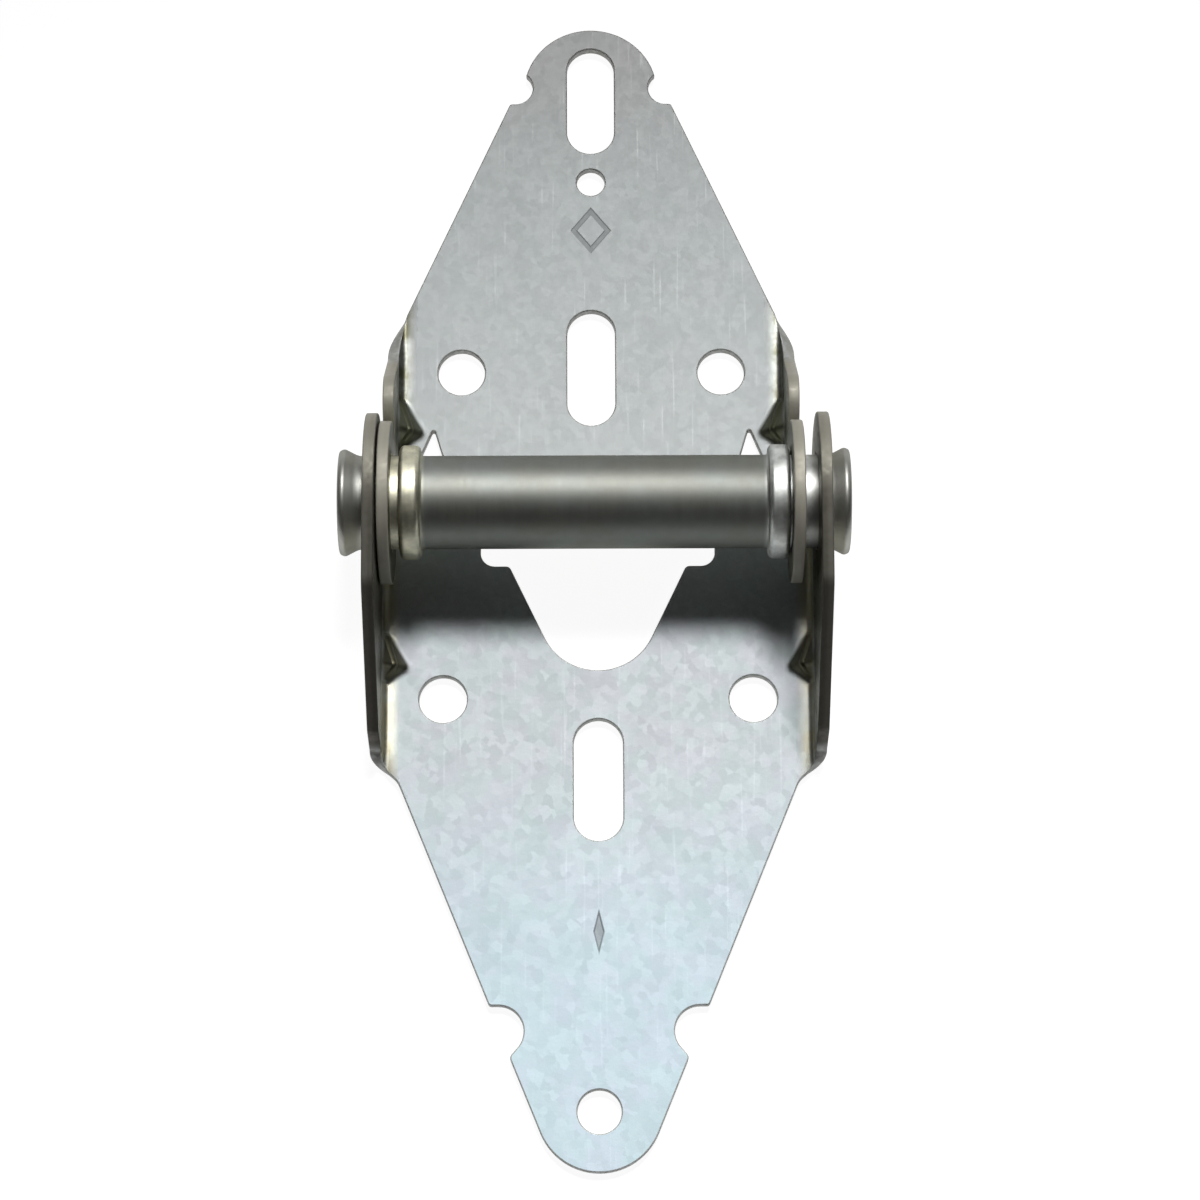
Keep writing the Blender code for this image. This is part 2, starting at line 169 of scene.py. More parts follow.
def crossAngles(centreA, radiusA, centreB, radiusB):
    # Where two circles cross, on the left of the way from A to B, as an angle on each.
    dx, dy = centreB[0] - centreA[0], centreB[1] - centreA[1]
    apart, way = hypot(dx, dy), atan2(dy, dx)
    onA = acos((apart ** 2 + radiusA ** 2 - radiusB ** 2) / (2 * apart * radiusA))
    onB = acos((apart ** 2 + radiusB ** 2 - radiusA ** 2) / (2 * apart * radiusB))
    return way + onA, way + pi - onB


def touchAngle(point, centre, radius, side):
    # Angle on a circle where the line from a point outside touches it.
    dx, dy = point[0] - centre[0], point[1] - centre[1]
    return atan2(dy, dx) + side * acos(min(1.0, radius / hypot(dx, dy)))


# The sheet steel, the same on both leaves.
sheetSteel = {
    "thickness": 1.9,
    "bendRadius": 1.2,     # inside the bend
    "corner": 0.6,         # rounding of the punched corners
    "edgeRound": 0.22,     # rolled-over edge that the punch leaves
    "edgeSteps": 4,
    "boltHole": 7.9,
    "slotWidth": 8.1,
    "earHole": 15.8,
    "holePoints": 72,
    "bendStrips": 16,
    "dartReach": 3.4,      # how far a dart runs past each side of the bend
    "dartRise": 5.6,       # length of its long upper face
    "dartFall": 2.0,       # and of its short lower face
    "dartRadius": 0.45,    # softening of its creases
    "dartGrid": 0.3,
    "dartDepth": 0.5,      # pressed this far, a dart has its full painted shade and gloss
    "bendFade": 1.8,       # the bends' tint and polish fade out over this much
    "crease": 24.0,        # edges that turn more degrees than this stay sharp
    "levelNormal": 0.999,  # a face that is at least this level may stay flat
    "levelShape": 0.001,   # if it is bent and pressed less than this share
    "cutMargin": 1.0,      # the grid's end rows start this much nearer to the middle
    "cutWeld": 0.0001,     # a cut this near to a point goes through it
}
bendOuter = sheetSteel["bendRadius"] + sheetSteel["thickness"]
bendLength = (sheetSteel["bendRadius"] + sheetSteel["thickness"] / 2) * pi / 2


def flatReach(leaf, height):
    # How far out on the flat blank a point of the ear lies, for its height once folded.
    return leaf["half"] - bendOuter + bendLength + height - bendOuter


def holeList(leaf):
    # Each hole is (x, y, width, how far its ends are pulled apart).
    holes = [(0, y, sheetSteel["slotWidth"], length - sheetSteel["slotWidth"])
             for y, length in leaf["slots"]]
    holes.append((0, *leaf["roundHole"], 0))
    for side in (-1, 1):
        holes.append((side * leaf["bolt"][0], leaf["bolt"][1], sheetSteel["boltHole"], 0))
        holes.append((side * flatReach(leaf, pivot.z), 0, sheetSteel["earHole"], 0))
    return holes


# The upper leaf, with the round head.
upperLeaf = {
    "half": 34.3,                            # half width over the ears
    "slide": -0.5,                           # side play taken up along the tube
    "headRadius": 11.5,
    "headCentre": 78.5,
    "headNotch": (12.95, 79.3, 3.0),         # its centre and radius
    "taper": (31.7, 36.8, 0.452),            # half width, where, and loss per millimetre
    "slots": ((76.75, 19.3), (28.3, 20.4)),  # place and length
    "roundHole": (61.8, 4.8),                # place and width
    "bolt": (21.9, 27.5),
    "tongue": (21.4, 0.6, 2.0),              # half width, lower edge and corner
    "relief": (26.5, 17.8, 2.6, 6.2),        # its tip, and its outer side's run out and down
    "reliefCorner": 1.8,
    "reliefTipCorner": 0.3,
    "earFoot": 4.0,
    "earRadius": 13.3,
    "earKnee": (19.3, 20.4, 6.65),           # place, height and corner
    "earHeel": 29.3,
    "heelCorner": 1.2,
    "dart": 16.5,                            # its ridge
}


def upperOutline(leaf):
    corner = sheetSteel["corner"]
    axis = (flatReach(leaf, pivot.z), 0)
    notchX, notchY, notchRadius = leaf["headNotch"]
    head = (0, leaf["headCentre"])
    cuspOnHead, cuspOnNotch = crossAngles(head, leaf["headRadius"], (notchX, notchY),
                                          notchRadius)
    shoulder = notchY - notchRadius
    taperHalf, taperY, taperLoss = leaf["taper"]
    kneeY, kneeHeight, kneeCorner = leaf["earKnee"]
    knee = (flatReach(leaf, kneeHeight), kneeY)
    foot = (flatReach(leaf, bendOuter + corner), leaf["earFoot"])
    front = touchAngle(knee, axis, leaf["earRadius"], 1)
    back = touchAngle(foot, axis, leaf["earRadius"], 1)
    reliefX, reliefY, reliefSide, reliefDrop = leaf["relief"]
    tongueHalf, tongueY, tongueCorner = leaf["tongue"]
    half = arcPoints(head, leaf["headRadius"], pi / 2, cuspOnHead)
    half += arcPoints((notchX, notchY), notchRadius, cuspOnNotch, 3 * pi / 2)[1:]
    half += [(taperHalf - taperLoss * (shoulder - taperY), shoulder, corner),
             (taperHalf - taperLoss * (leaf["earHeel"] - taperY), leaf["earHeel"],
              leaf["heelCorner"]),
             (*knee, kneeCorner)]
    half += arcPoints(axis, leaf["earRadius"], front, back - 2 * pi)
    half += [(*foot, corner),
             (reliefX + reliefSide, reliefY - reliefDrop, leaf["reliefCorner"]),
             (reliefX, reliefY, leaf["reliefTipCorner"]),
             (tongueHalf, tongueY, tongueCorner), (0, tongueY, 0)]
    # Walked clockwise so far, so it is turned round.
    return roundCorners(list(reversed(mirrorHalf(half))))


# The lower leaf, with the tongue and the T-shaped opening.
lowerLeaf = {
    "half": 37.5,
    "slide": 0.5,
    "tipRadius": 10.3,
    "tipCentre": -96.5,
    "roundHole": (-97.1, 7.1),          # place and width
    "tipCorner": (-88.3, 0.9),          # where the tongue starts, and its rounding
    "tipNotch": (16.3, -84.1, 4.1),     # its centre and radius
    "tipNotchTurn": 135.0,              # degrees of its circle that are cut
    "taper": (33.0, -42.9, 0.41),       # half width, where, and gain per millimetre
    "taperCorner": 3.6,
    "slots": ((-42.8, 20.4),),
    "bolt": (25.6, -29.2),
    "upperEdge": (-0.6, 1.8),           # place, and the corner beside the ear
    "opening": (19.5, -6.45, 3.0),      # half width, lower side and corner of its wide bar
    "openingNeck": (14.7, 0.9),         # half width of the funnel's mouth, and its corner
    "openingBottom": (-24.3, 9.8),      # lowest place and radius
    "earRadius": 14.6,
    "earFoot": 198.0,                   # degrees where the ear's round edge starts
    "earShoulder": (-17.2, 30.4, 4.0),  # place, height and corner
    "earStep": (-36.6, 10.6, 2.4),
    "earHeel": (-38.3, 3.6, 1.8),
    "dart": -24.0,
}


def lowerOutline(leaf):
    corner = sheetSteel["corner"]
    axis = (flatReach(leaf, pivot.z), 0)
    notchX, notchY, notchRadius = leaf["tipNotch"]
    shoulder = notchY + notchRadius
    taperHalf, taperY, taperGain = leaf["taper"]
    slope = atan2(taperGain, 1)
    tip, tipRadius = (0, leaf["tipCentre"]), leaf["tipRadius"]
    touch = (tipRadius * cos(slope), tip[1] - tipRadius * sin(slope))
    tipCornerY, tipCorner = leaf["tipCorner"]
    openingHalf, barY, barCorner = leaf["opening"]
    neckHalf, neckCorner = leaf["openingNeck"]
    bottomY, bottomRadius = leaf["openingBottom"]
    edgeY, edgeCorner = leaf["upperEdge"]
    neck = (neckHalf, barY)
    funnel = (0, bottomY + bottomRadius)
    ear = [(flatReach(leaf, height), y, rounding)
           for y, height, rounding in (leaf["earShoulder"], leaf["earStep"], leaf["earHeel"])]
    front = touchAngle(ear[0], axis, leaf["earRadius"], 1)
    half = arcPoints(funnel, bottomRadius, -pi / 2, touchAngle(neck, funnel, bottomRadius, -1))
    half += [(*neck, neckCorner), (openingHalf, barY, barCorner),
             (openingHalf, edgeY, corner), (leaf["half"] - bendOuter, edgeY, edgeCorner)]
    half += arcPoints(axis, leaf["earRadius"], radians(leaf["earFoot"]), front)
    half += ear
    half += [(taperHalf, taperY, leaf["taperCorner"]),
             (taperHalf + taperGain * (shoulder - taperY), shoulder, corner)]
    half += arcPoints((notchX, notchY), notchRadius, pi / 2,
                      pi / 2 + radians(leaf["tipNotchTurn"]))
    half += [(touch[0] + taperGain * (tipCornerY - touch[1]), tipCornerY, tipCorner)]
    half += arcPoints(tip, tipRadius, -slope, -pi / 2)
    return roundCorners(list(reversed(mirrorHalf(half))))


# Punching: a tree that cuts the holes and gives the sheet its rounded rim.
def buildPunchTree():
    tree, given, result = newGeometryTree("punchedSheet", [
        ("Outline", "Object"), ("Holes", "Object"), ("Edge Profile", "Object"),
        ("Thickness", "Float"), ("Hole Points", "Int"), ("Material", "Material")])

    def shapeOf(name):
        return addNode(tree, "GeometryNodeObjectInfo", {"Object": given[name]}).outputs["Geometry"]

    def named(name):
        return addNode(tree, "GeometryNodeInputNamedAttribute", {"Name": name},
                       data_type="FLOAT").outputs["Attribute"]

    # One circle on each point, scaled to the hole's width, its two ends pulled apart.
    circle = addNode(tree, "GeometryNodeCurvePrimitiveCircle",
                     {"Resolution": given["Hole Points"], "Radius": 0.5})
    axes = splitPlace(tree, addNode(tree, "GeometryNodeInputPosition").outputs[0])
    end = mathNode(tree, "SIGN", axes["Y"])
    ended = addNode(tree, "GeometryNodeStoreNamedAttribute",
                    {"Geometry": circle.outputs["Curve"], "Name": "end", "Value": end},
                    data_type="FLOAT", domain="POINT")
    holes = addNode(tree, "GeometryNodeInstanceOnPoints",
                    {"Points": shapeOf("Holes"), "Instance": ended.outputs["Geometry"],
                     "Scale": named("width")})
    realized = addNode(tree, "GeometryNodeRealizeInstances", {"Geometry": holes.outputs[0]})
    pull = mathNode(tree, "MULTIPLY", named("end"), named("pull"))
    offset = addNode(tree, "ShaderNodeCombineXYZ", {"Y": pull})
    pulled = addNode(tree, "GeometryNodeSetPosition",
                     {"Geometry": realized.outputs[0], "Offset": offset.outputs[0]})
    backwards = addNode(tree, "GeometryNodeReverseCurve", {"Curve": pulled.outputs[0]})

    # The rim is the edge profile swept along every loop.
    loops = addNode(tree, "GeometryNodeJoinGeometry")
    tree.links.new(shapeOf("Outline"), loops.inputs[0])
    tree.links.new(backwards.outputs[0], loops.inputs[0])
    rim = addNode(tree, "GeometryNodeCurveToMesh",
                  {"Curve": loops.outputs[0], "Profile Curve": shapeOf("Edge Profile")})
    marked = addNode(tree, "GeometryNodeStoreNamedAttribute",
                     {"Geometry": rim.outputs[0], "Name": "cutEdge", "Value": 1.0},
                     data_type="FLOAT", domain="FACE")

    # Both flat sides fill the rim's open loops, whose edges have only one face.
    faces = addNode(tree, "GeometryNodeInputMeshEdgeNeighbors")
    single = addNode(tree, "FunctionNodeCompare", {2: faces.outputs[0], 3: 1},
                     data_type="INT", operation="EQUAL")
    middle = mathNode(tree, "MULTIPLY", given["Thickness"], 0.5)
    low = addNode(tree, "FunctionNodeCompare", {0: axes["Z"], 1: middle},
                  data_type="FLOAT", operation="LESS_THAN")
    lowOpen = addNode(tree, "FunctionNodeBooleanMath", {0: single.outputs[0], 1: low.outputs[0]},
                      operation="AND")
    edges = addNode(tree, "GeometryNodeMeshToCurve",
                    {"Mesh": rim.outputs[0], "Selection": lowOpen.outputs[0]})
    back = addNode(tree, "GeometryNodeFillCurve", {"Curve": edges.outputs[0]})
    lift = addNode(tree, "ShaderNodeCombineXYZ", {"Z": given["Thickness"]})
    front = addNode(tree, "GeometryNodeTransform",
                    {"Geometry": back.outputs[0], "Translation": lift.outputs[0]})
    sheet = addNode(tree, "GeometryNodeJoinGeometry")
    for piece in (marked, back, front):
        tree.links.new(piece.outputs[0], sheet.inputs[0])
    merged = addNode(tree, "GeometryNodeMergeByDistance",
                     {"Geometry": sheet.outputs[0], "Distance": drawing["weld"] * mm})
    return endGeometryTree(tree, merged.outputs[0], given["Material"], result)


def drawCurve(name, points, closed):
    curve = bpy.data.curves.new(name, "CURVE")
    curve.dimensions = "3D"
    spline = curve.splines.new("POLY")
    spline.points.add(len(points) - 1)
    for point, (x, y) in zip(spline.points, points):
        point.co = (x * mm, y * mm, 0, 1)
    spline.use_cyclic_u = closed
    return addObject(name, curve)


def punchSheet(name, leaf, outline, material):
    holes = holeList(leaf)
    radius, thickness = sheetSteel["edgeRound"], sheetSteel["thickness"]
    steps = [i / sheetSteel["edgeSteps"] * pi / 2 for i in range(sheetSteel["edgeSteps"] + 1)]
    # A swept profile is laid with its Y downwards, so its heights are negative.
    rimHalf = [(radius * (sin(a) - 1), radius * (cos(a) - 1)) for a in steps]
    rimProfile = rimHalf + [(x, -thickness - y) for x, y in reversed(rimHalf)]
    drawn = [drawCurve(name + "Outline", outline, True),
             drawCurve(name + "Rim", rimProfile, False)]
    mesh = bpy.data.meshes.new(name + "Holes")
    mesh.from_pydata([(x * mm, y * mm, 0) for x, y, width, pull in holes], [], [])
    mesh.attributes.new("width", "FLOAT", "POINT").data.foreach_set(
        "value", [width * mm for x, y, width, pull in holes])
    mesh.attributes.new("pull", "FLOAT", "POINT").data.foreach_set(
        "value", [pull / 2 * mm for x, y, width, pull in holes])
    drawn.append(addObject(name + "Holes", mesh))
    sheet = meshFromTree(name + "Blank", punchTree, {
        "Outline": drawn[0], "Edge Profile": drawn[1], "Holes": drawn[2],
        "Thickness": thickness * mm, "Hole Points": sheetSteel["holePoints"],
        "Material": material})
    for item in drawn:
        bpy.data.objects.remove(item)
    return sheet


# Folding: the punched blank is bent round, and the darts are pressed in.
def bendEnds(leaf):
    # Where the bend starts and ends on the flat blank, out from its middle line.
    start = leaf["half"] - bendOuter
    return start, start + bendLength


def foldPoint(flat, depth, half):
    # Where a point of the flat blank lies once its ear is bent up, as (x, z).
    side = 1 if flat > 0 else -1
    past = abs(flat) - (half - bendOuter)
    if past <= 0:
        return Vector((flat, depth))
    angle = min(past / bendLength, 1) * pi / 2
    rise = max(past - bendLength, 0)
    radius = bendOuter - depth
    x = half - bendOuter + radius * sin(angle)
    return Vector((side * x, bendOuter - radius * cos(angle) + rise))


def dartShift(flat, y, leaf):
    # The dart's punch presses the sheet off the bend onto a chord, longest at its ridge.
    above = y - leaf["dart"]
    length = sheetSteel["dartRise"] if above > 0 else sheetSteel["dartFall"]
    share = 1 - abs(above) / length
    if share <= 0:
        return Vector((0, 0))
    side = 1 if flat > 0 else -1
    reach = sheetSteel["dartReach"] * share
    bendStart, bendEnd = bendEnds(leaf)
    start, end = bendStart - reach, bendEnd + reach
    along = (abs(flat) - start) / (end - start)
    if not 0 < along < 1:
        return Vector((0, 0))
    middle = sheetSteel["thickness"] / 2
    first = foldPoint(side * start, middle, leaf["half"])
    last = foldPoint(side * end, middle, leaf["half"])
    return first.lerp(last, along) - foldPoint(flat, middle, leaf["half"])


def softDartShift(flat, y, leaf):
    soft = sheetSteel["dartRadius"]
    nearby = [(i * soft, j * soft) for i in (-1, 0, 1) for j in (-1, 0, 1)]
    total = sum((dartShift(flat + dx, y + dy, leaf) for dx, dy in nearby), Vector((0, 0)))
    return total / len(nearby)


def cutLines(sheet, places, normal, keep):
    # Adds an edge line across the faces that keep picks, at each place.
    for place in places:
        faces = [face for face in sheet.faces if keep(face.calc_center_median() / mm)]
        edges = {edge for face in faces for edge in face.edges}
        verts = {vert for face in faces for vert in face.verts}
        bmesh.ops.bisect_plane(sheet, geom=list(verts) + list(edges) + faces,
                               dist=sheetSteel["cutWeld"] * mm,
                               plane_co=Vector(normal) * place * mm, plane_no=normal)


def evenly(first, last, spacing):
    count = ceil((last - first) / spacing)
    return [first + (last - first) * i / count for i in range(count + 1)]


def cutFoldLines(sheet, leaf):
    # Lines along each bend, and a fine grid where its dart is.
    bendStart, bendEnd = bendEnds(leaf)
    grid, reach = sheetSteel["dartGrid"], sheetSteel["dartReach"]
    soft, margin = 2 * sheetSteel["dartRadius"], sheetSteel["cutMargin"]
    bend = [bendStart + bendLength * i / sheetSteel["bendStrips"]
            for i in range(sheetSteel["bendStrips"] + 1)]
    fade = [bendStart - sheetSteel["bendFade"], bendEnd + sheetSteel["bendFade"]]
    inner = evenly(bendStart - reach - soft, bendStart, grid)[:-1]
    outer = evenly(bendEnd, bendEnd + reach + soft, grid)[1:]
    rows = evenly(leaf["dart"] - sheetSteel["dartFall"] - soft,
                  leaf["dart"] + sheetSteel["dartRise"] + soft, grid)
    for side in (-1, 1):
        cutLines(sheet, [side * x for x in bend + fade], (1, 0, 0), lambda centre: True)
    for row in (rows[0], rows[-1]):
        cutLines(sheet, [row], (0, 1, 0), lambda centre: abs(centre.x) > inner[0] - margin)
    for side in (-1, 1):
        cutLines(sheet, [side * x for x in inner + outer], (1, 0, 0),
                 lambda centre: rows[0] < centre.y < rows[-1] and side * centre.x > 0)
    cutLines(sheet, rows[1:-1], (0, 1, 0),
             lambda centre: rows[0] < centre.y < rows[-1]
             and inner[0] < abs(centre.x) < outer[-1])


def foldSheet(sheet, leaf):
    # Moves each point to its folded place, and says which faces are shaded smooth.
    bendStart, bendEnd = bendEnds(leaf)
    sheet.normal_update()
    level = [abs(face.normal.z) > sheetSteel["levelNormal"] for face in sheet.faces]
    for layer in ("bend", "dart", "front"):
        sheet.verts.layers.float.new(layer)
    bendLayer, dartLayer, frontLayer = (sheet.verts.layers.float[layer]
                                        for layer in ("bend", "dart", "front"))
    for vert in sheet.verts:
        flat, y, depth = (value / mm for value in vert.co)
        shift = softDartShift(flat, y, leaf)
        place = foldPoint(flat, depth, leaf["half"]) + shift
        outside = max(bendStart - abs(flat), abs(flat) - bendEnd, 0)
        vert[bendLayer] = max(1 - outside / sheetSteel["bendFade"], 0)
        vert[dartLayer] = min(shift.length / sheetSteel["dartDepth"], 1)
        vert[frontLayer] = depth / sheetSteel["thickness"]
        vert.co = Vector((place.x + leaf["slide"], y + pivot.y, place.y)) * mm
    # The plates stay flat, and what is bent, pressed or cut is smooth.
    return [not isLevel or any(vert[bendLayer] + vert[dartLayer] > sheetSteel["levelShape"]
                               for vert in face.verts)
            for face, isLevel in zip(sheet.faces, level)]


def foldLeaf(name, leaf, outline, material):
    mesh = punchSheet(name, leaf, outline, material)
    sheet = bmesh.new()
    sheet.from_mesh(mesh)
    cutFoldLines(sheet, leaf)
    smooth = foldSheet(sheet, leaf)
    bmesh.ops.recalc_face_normals(sheet, faces=sheet.faces)
    sheet.to_mesh(mesh)
    sheet.free()
    mesh.name = name
    mesh.set_sharp_from_angle(angle=radians(sheetSteel["crease"]))
    mesh.polygons.foreach_set("use_smooth", smooth)
    # The blank comes with an empty slot before its material's.
    mesh.materials.clear()
    mesh.materials.append(material)
    mesh.polygons.foreach_set("material_index", [0] * len(mesh.polygons))
    return addObject(name, mesh)


# The roller tube, with a bead inside each inner ear and a flare at each end.
rollerTube = {
    "diameter": 15.2,
    "bore": 11.9,
    "beadDiameter": 18.6,
    "beadWidth": 3.4,
    "beadRound": 0.833,  # rounding of its two shoulders
    "beadFillet": 0.5,   # where it rises from the tube
    "flareDiameter": 17.6,
    "flareLength": 3.1,
    "flareBore": 14.0,
    "lipRound": 0.81,
    "seatGap": 0.3,      # between the tube and the ears that it holds
    "crease": 35.0,
    "stepsAround": 144,
    "pathRadius": 6.8,   # the section is swept round this circle
}


def tubeSection(tube):
    radius, bore = tube["diameter"] / 2, tube["bore"] / 2
    bead, flare = tube["beadDiameter"] / 2, tube["flareDiameter"] / 2
    slide = abs(upperLeaf["slide"])
    beadEnd = upperLeaf["half"] - sheetSteel["thickness"] - slide - tube["seatGap"]
    beadStart = beadEnd - tube["beadWidth"]
    flareStart = lowerLeaf["half"] + slide + tube["seatGap"]
    end = flareStart + tube["flareLength"]
    crown, lip = tube["beadRound"], tube["lipRound"]
    outside = [(radius, 0, 0), (radius, beadStart, tube["beadFillet"]),
               (bead, beadStart, crown), (bead, beadEnd, crown), (radius, beadEnd, 0),
               (radius, flareStart, tube["flareLength"]), (flare, end - lip, lip),
               (flare - lip / 2, end, lip / 2)]
    inside = [(tube["flareBore"] / 2, end, lip / 2), (bore, flareStart, tube["flareLength"]),
              (bore, 0, 0)]
    upperHalf = list(reversed(outside))[:-1]
    lowerHalf = [(r, -along, corner) for r, along, corner in outside[1:]]
    through = [(r, -along, corner) for r, along, corner in inside[:-1]]
    through += [(r, along, corner) for r, along, corner in reversed(inside[:-1])]
    return roundCorners(upperHalf + lowerHalf + through)


def buildTurnTree():
    tree, given, result = newGeometryTree("turnedTube", [
        ("Section", "Object"), ("Path Radius", "Float"), ("Steps Around", "Int"),
        ("Material", "Material")])
    section = addNode(tree, "GeometryNodeObjectInfo", {"Object": given["Section"]})
    path = addNode(tree, "GeometryNodeCurvePrimitiveCircle",
                   {"Resolution": given["Steps Around"], "Radius": given["Path Radius"]})
    turned = addNode(tree, "GeometryNodeCurveToMesh",
                     {"Curve": path.outputs["Curve"],
                      "Profile Curve": section.outputs["Geometry"]})
    return endGeometryTree(tree, turned.outputs[0], given["Material"], result)


def turnTube(name, tube, material):
    section = [(radius - tube["pathRadius"], along) for radius, along in tubeSection(tube)]
    drawn = drawCurve(name + "Section", section, True)
    mesh = meshFromTree(name, buildTurnTree(), {
        "Section": drawn, "Path Radius": tube["pathRadius"] * mm,
        "Steps Around": tube["stepsAround"], "Material": material})
    bpy.data.objects.remove(drawn)
    # The tube is turned about Z, then laid along X on the pivot.
    mesh.transform(Matrix.Translation(pivot * mm) @ Matrix.Rotation(pi / 2, 4, "Y"))
    turned = bmesh.new()
    turned.from_mesh(mesh)
    bmesh.ops.recalc_face_normals(turned, faces=turned.faces)
    turned.to_mesh(mesh)
    turned.free()
    mesh.name = name
    mesh.shade_smooth()
    mesh.set_sharp_from_angle(angle=radians(tube["crease"]))
    return addObject(name, mesh)


# Helpers for materials. Textures are measured in millimetres.
noiseTexture = {
    "roughness": 0.55,
    "span": (0.3, 0.7),        # most of a noise's values lie between these
    "tintSpan": (0.35, 0.65),  # narrower, so that two tints stand apart
}


def mapValue(tree, value, low, high, toLow=0.0, toHigh=1.0):
    node = addNode(tree, "ShaderNodeMapRange",
                   {"Value": value, "From Min": low, "From Max": high,
                    "To Min": toLow, "To Max": toHigh}, interpolation_type="SMOOTHSTEP")
    return node.outputs[0]


def mixColour(tree, factor, a, b, blend="MIX"):
    def full(colour):
        return (*colour, 1.0) if isinstance(colour, tuple) else colour
    node = addNode(tree, "ShaderNodeMix", {0: factor, 6: full(a), 7: full(b)},
                   data_type="RGBA", blend_type=blend)
    return node.outputs[2]


def brighten(tree, colour, bright):
    brightness = addNode(tree, "ShaderNodeCombineXYZ", {0: bright, 1: bright, 2: bright})
    return mixColour(tree, 1.0, colour, brightness.outputs[0], "MULTIPLY")


def noiseValue(tree, place, size, detail):
    return addNode(tree, "ShaderNodeTexNoise",
                   {"Vector": place, "Scale": 1 / size, "Detail": detail,
                    "Roughness": noiseTexture["roughness"]}).outputs["Fac"]


def noiseBetween(tree, noise, low, high):
    return mapValue(tree, noise, *noiseTexture["span"], low, high)


def newMaterial(name, metallic):
    # A material, its tree, its shader and Object coordinates in millimetres.
    material = bpy.data.materials.new(name)
    material.use_nodes = True
    tree = material.node_tree
    shader = tree.nodes["Principled BSDF"]
    shader.inputs["Metallic"].default_value = metallic
    coordinates = addNode(tree, "ShaderNodeTexCoord")
    scaled = addNode(tree, "ShaderNodeMapping",
                     {"Vector": coordinates.outputs["Object"], "Scale": (1 / mm,) * 3})
    return material, tree, shader, scaled.outputs[0]


def setBump(tree, shader, relief, height):
    bump = addNode(tree, "ShaderNodeBump",
                   {"Height": relief, "Distance": height * mm, "Strength": 1.0})
    tree.links.new(bump.outputs[0], shader.inputs["Normal"])


# The plating of the leaves: first what both have, then the colours of each.
sheetPlating = {
    "metallic": 0.5,
    "roughness": 0.65,
    "formedRoughness": 0.42,      # on the bends and ears
    "crystalWarp": 0.9,           # scale of the noise that bends the crystals
    "tintSize": 5.0,
    "mottleSize": 0.8,
    "cloudSize": 14.0,
    "cloudContrast": 0.02,
    "frontFrom": (0.3, 0.7),      # shares of the thickness, from outer side to front
    "earFrom": (3.0, 7.0),        # heights over which the ears darken with painted shade
    "patchSize": 4.0,
    "patchSpan": (0.25, 0.7),
    "goldAndShadePatches": (0.5, 1.0),    # least and most of the bends' tint: yellow on the lower leaf, painted shade on the upper
    "earShadePatches": (0.93, 1.0),  # and of the ears' painted shade
    # how much painted shade the darts get
    "dartShadeAmount": 0.9,
    "edgeAmount": 0.9,
    "earCutLightFrom": (-5.0, 5.0),    # where the ears' edges change from painted shade to painted light
    "rubbedSize": 1.1,
    "rubbedSpan": (0.4, 0.7),
    "rubbedBright": 0.5,
    "rubbedPolish": 0.1,
    "lineTurn": 0.4,              # radians
    "lineScale": (2.2, 0.06, 2.2),
    "lineSpan": (0.62, 0.72),
    "linePolish": 0.06,
    "grainSize": 0.35,
    "grainHeight": 0.25,
    "mottleHeight": 0.6,
    "waveSize": 9.0,
    "waveHeight": 1.2,
    "stampStroke": (0.35, 0.75),  # shares of the stroke over which its side fades
    "stampFill": (0.7, 1.1),      # and of a filled stamp's size
    "stampAmount": 0.55,
    "stampShade": 0.35,
    "stampDepth": 9.0,
}
lowerZinc = {
    "colour": (0.70, 0.74, 0.755),         # near the tube
    "paintedFarColour": (0.65, 0.80, 0.87),       # painted brighter light towards the tip, with a bluer tone
    "paintedFarFrom": (-30.0, -85.0),
    "coolTint": (0.66, 0.80, 0.79),
    "warmTint": (0.76, 0.75, 0.85),
    "tintAmount": 0.3,
    "goldAndShadeTint": (0.60, 0.55, 0.38),        # yellow passivation on the bends
    "goldAndShadeAmount": 0.85,
    # painted shade on the darts
    "dartShadeColour": (0.13, 0.12, 0.075),
    "earShadeColour": (0.10, 0.09, 0.06),       # olive painted shade inside the ears
    "outerColour": (0.50, 0.485, 0.41),    # the bends' and ears' outer side
    "cutColour": (0.52, 0.53, 0.50),
    # painted shade on the ears' edges below the tube
    "shadedEarCutColour": (0.075, 0.07, 0.055),
    "litEarCutColour": (0.34, 0.325, 0.27),   # the same edges round the tube, in painted light
    "roughnessSpread": 0.03,
    "spangleSize": 1.5,
    "spangleContrast": 0.05,
    "mottleContrast": 0.07,
    "bumpHeight": 0.02,
    "stamp": (0.5, -68.0, 0.9, 3.6, 0.0),  # x, y, half width, half height, stroke
}
upperZinc = {
    "colour": (0.68, 0.715, 0.715),
    # the far colour is painted shade, duller towards the head
    "paintedFarColour": (0.63, 0.635, 0.63),
    "paintedFarFrom": (58.0, 88.0),
    "coolTint": (0.58, 0.66, 0.64),
    "warmTint": (0.65, 0.64, 0.66),
    "tintAmount": 0.16,
    # painted shade in the bends
    "goldAndShadeTint": (0.17, 0.165, 0.11),
    "goldAndShadeAmount": 1.0,
    # painted shade on the darts
    "dartShadeColour": (0.12, 0.125, 0.075),
    # painted shade inside the ears
    "earShadeColour": (0.11, 0.105, 0.07),
    "outerColour": (0.48, 0.475, 0.41),
    "cutColour": (0.46, 0.46, 0.43),
    "shadedEarCutColour": (0.46, 0.44, 0.37),
    "litEarCutColour": (0.46, 0.44, 0.37),
    "roughnessSpread": 0.017,
    "spangleSize": 1.4,
    "spangleContrast": 0.02,
    "mottleContrast": 0.02,
    "bumpHeight": 0.01,
    "stamp": (-0.5, 53.0, 2.9, 3.5, 0.9),
}


